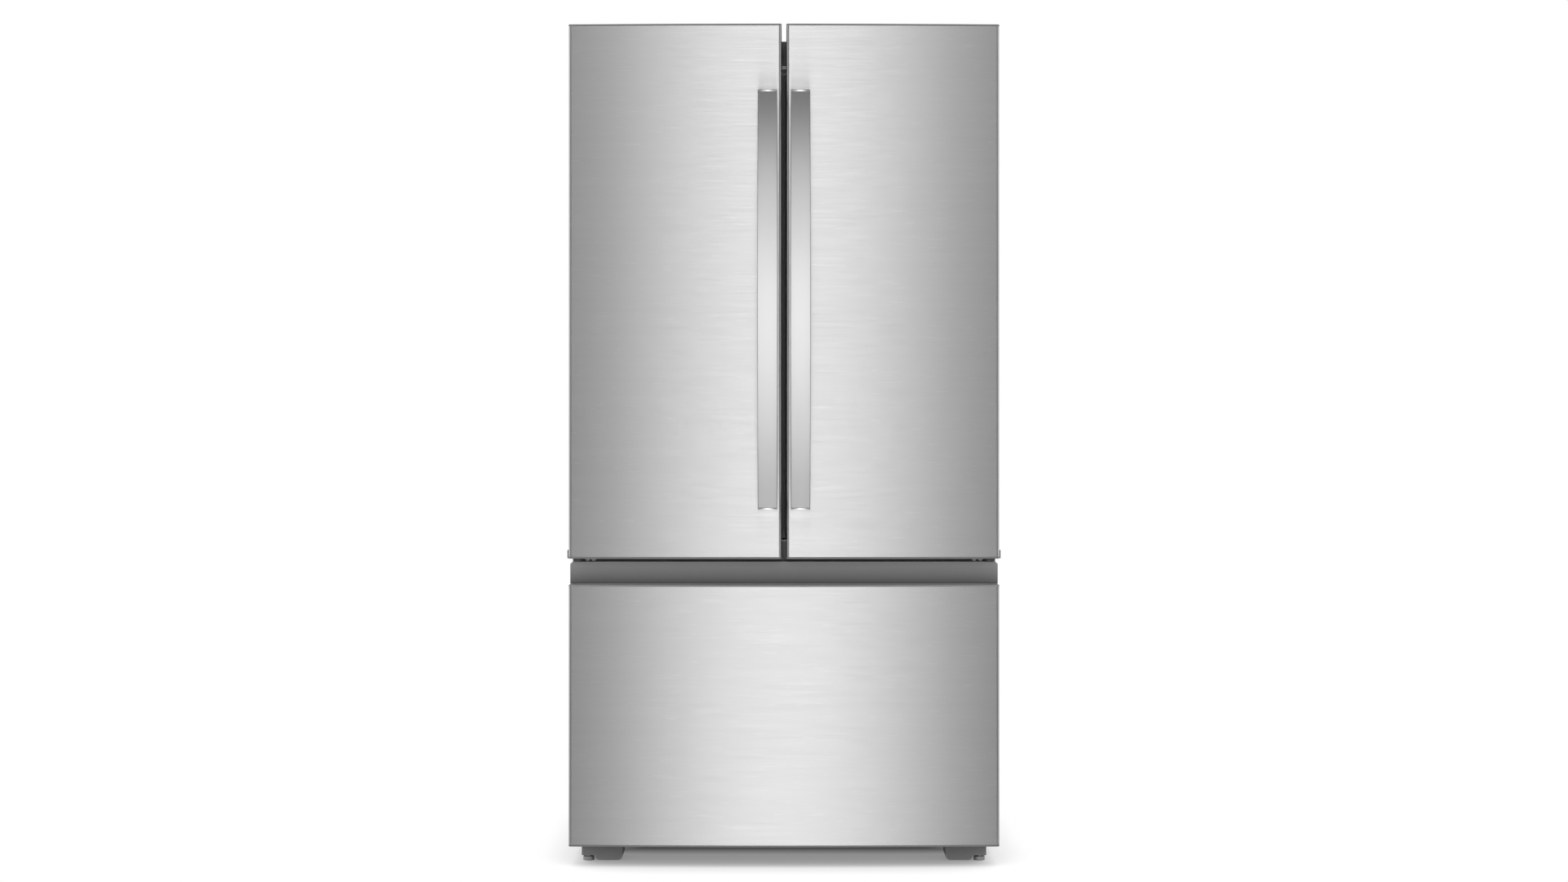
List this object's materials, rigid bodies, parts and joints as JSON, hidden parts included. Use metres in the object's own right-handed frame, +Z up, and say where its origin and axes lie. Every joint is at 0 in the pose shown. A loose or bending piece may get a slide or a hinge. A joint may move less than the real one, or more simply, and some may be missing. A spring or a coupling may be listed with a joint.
{
  "type": "french door refrigerator",
  "caption": "Free-standing refrigerator with side-by-side bowed steel doors, bar handles and a bottom freezer drawer with a pocket grip.",
  "frame": {"origin": "on the floor, under the middle of the whole box, handles and rear cover included", "axes": "+X to the viewer's right, +Y from the doors to the back, +Z up"},
  "size_m": [0.916, 0.8699, 1.775],
  "materials": {
    "stainless_steel": "satin",
    "handle_steel": "satin",
    "post_steel": "polished",
    "grey_trim": "satin",
    "painted_cabinet": "satin",
    "zinc_steel": "satin",
    "hinge_steel": "satin",
    "insulation_foam": "matte",
    "white_liner": "satin",
    "white_trim": "satin",
    "gasket_rubber": "matte",
    "clear_plastic": "gloss",
    "shelf_glass": "gloss",
    "black_plastic": "satin",
    "foot_plastic": "satin",
    "compressor_black": "gloss",
    "fin_aluminium": "satin",
    "roller_plastic": "satin",
    "leg_zinc": "satin"
  },
  "bodies": {
    "cabinet": {"air_tower": "white_trim", "base_pan": "zinc_steel", "cabinet_foam": "insulation_foam", "cabinet_wrapper": "painted_cabinet", "centre_hinges": "hinge_steel", "compressor": "compressor_black", "condenser": "fin_aluminium", "condenser_fan_motor": "zinc_steel", "control_panel": "white_trim", "drain_pan": "black_plastic", "evaporator": "fin_aluminium", "evaporator_cover": "white_trim", "freezer_liner": "white_liner", "freezer_rails": "zinc_steel", "fresh_food_liner": "white_liner", "front_feet": "foot_plastic", "hinge_screws": "leg_zinc", "machine_cover": "zinc_steel", "middle_rail": "hinge_steel", "rear_panel": "zinc_steel", "shelf_frames": "white_trim", "shelf_glass": "shelf_glass", "shelf_tracks": "zinc_steel", "top_hinge_covers": "grey_trim", "top_hinges": "hinge_steel"},
    "left_door": {"left_door_skin": "stainless_steel", "left_door_caps": "grey_trim", "left_door_liner": "white_liner", "left_door_foam": "insulation_foam", "left_door_gasket": "gasket_rubber", "left_door_bins": "clear_plastic", "left_handle": "handle_steel", "left_handle_posts": "post_steel"},
    "right_door": {"right_door_skin": "stainless_steel", "right_door_caps": "grey_trim", "right_door_liner": "white_liner", "right_door_foam": "insulation_foam", "right_door_gasket": "gasket_rubber", "right_door_bins": "clear_plastic", "right_handle": "handle_steel", "right_handle_posts": "post_steel"},
    "mullion": {"mullion": "grey_trim"},
    "freezer_drawer": {"drawer_skin": "stainless_steel", "drawer_bottom_cap": "grey_trim", "drawer_pocket": "grey_trim", "drawer_panel": "white_liner", "drawer_foam": "insulation_foam", "drawer_gasket": "gasket_rubber", "drawer_slides": "zinc_steel", "freezer_bin": "clear_plastic"},
    "slide_members": {"slide_members": "zinc_steel"},
    "upper_basket": {"upper_basket": "clear_plastic"},
    "left_crisper": {"left_crisper": "clear_plastic"},
    "right_crisper": {"right_crisper": "clear_plastic"},
    "front_rollers": {"front_rollers": "roller_plastic"},
    "rear_rollers": {"rear_rollers": "roller_plastic"},
    "left_levelling_leg": {"left_levelling_leg": "leg_zinc"},
    "right_levelling_leg": {"right_levelling_leg": "leg_zinc"},
    "condenser_fan": {"condenser_fan": "black_plastic"},
    "evaporator_fan": {"evaporator_fan": "black_plastic"}
  },
  "joints": [
    {"name": "left_door_swing", "type": "hinge", "parent": "cabinet", "child": "left_door", "pos_m": [-0.437, -0.318, 0.6495], "axis": [0, 0, -1], "range_deg": [0, 125]},
    {"name": "right_door_swing", "type": "hinge", "parent": "cabinet", "child": "right_door", "pos_m": [0.437, -0.318, 0.6495], "axis": [0, 0, 1], "range_deg": [0, 125]},
    {"name": "mullion_fold", "type": "hinge", "parent": "left_door", "child": "mullion", "pos_m": [-0.033, -0.27, 0.7025], "axis": [0, 0, 1], "range_deg": [0, 87.5]},
    {"name": "drawer_slide", "type": "slide", "parent": "cabinet", "child": "freezer_drawer", "axis": [0, -1, 0], "range_m": [0, 0.4]},
    {"name": "slide_member_travel", "type": "slide", "parent": "cabinet", "child": "slide_members", "axis": [0, -1, 0], "range_m": [0, 0.2]},
    {"name": "upper_basket_slide", "type": "slide", "parent": "cabinet", "child": "upper_basket", "axis": [0, -1, 0], "range_m": [0, 0.166]},
    {"name": "left_crisper_slide", "type": "slide", "parent": "cabinet", "child": "left_crisper", "axis": [0, -1, 0], "range_m": [0, 0.095]},
    {"name": "right_crisper_slide", "type": "slide", "parent": "cabinet", "child": "right_crisper", "axis": [0, -1, 0], "range_m": [0, 0.095]},
    {"name": "front_roller_turn", "type": "hinge", "parent": "cabinet", "child": "front_rollers", "pos_m": [0, -0.253, 0.022], "axis": [1, 0, 0], "continuous": true},
    {"name": "rear_roller_turn", "type": "hinge", "parent": "cabinet", "child": "rear_rollers", "pos_m": [0, 0.37, 0.022], "axis": [1, 0, 0], "continuous": true},
    {"name": "left_leg_turn", "type": "hinge", "parent": "cabinet", "child": "left_levelling_leg", "pos_m": [-0.418, -0.275, 0], "axis": [0, 0, 1], "continuous": true},
    {"name": "right_leg_turn", "type": "hinge", "parent": "cabinet", "child": "right_levelling_leg", "pos_m": [0.418, -0.275, 0], "axis": [0, 0, 1], "continuous": true},
    {"name": "condenser_fan_spin", "type": "hinge", "parent": "cabinet", "child": "condenser_fan", "pos_m": [-0.125, 0.3075, 0.143], "axis": [1, 0, 0], "continuous": true},
    {"name": "evaporator_fan_spin", "type": "hinge", "parent": "cabinet", "child": "evaporator_fan", "pos_m": [0, 0.318, 0.532], "axis": [0, 1, 0], "continuous": true}
  ],
  "couplings": [
    {"joint": "mullion_fold", "follows": "left_door_swing", "ratio": 0.7},
    {"joint": "slide_member_travel", "follows": "drawer_slide", "ratio": 0.5}
  ]
}
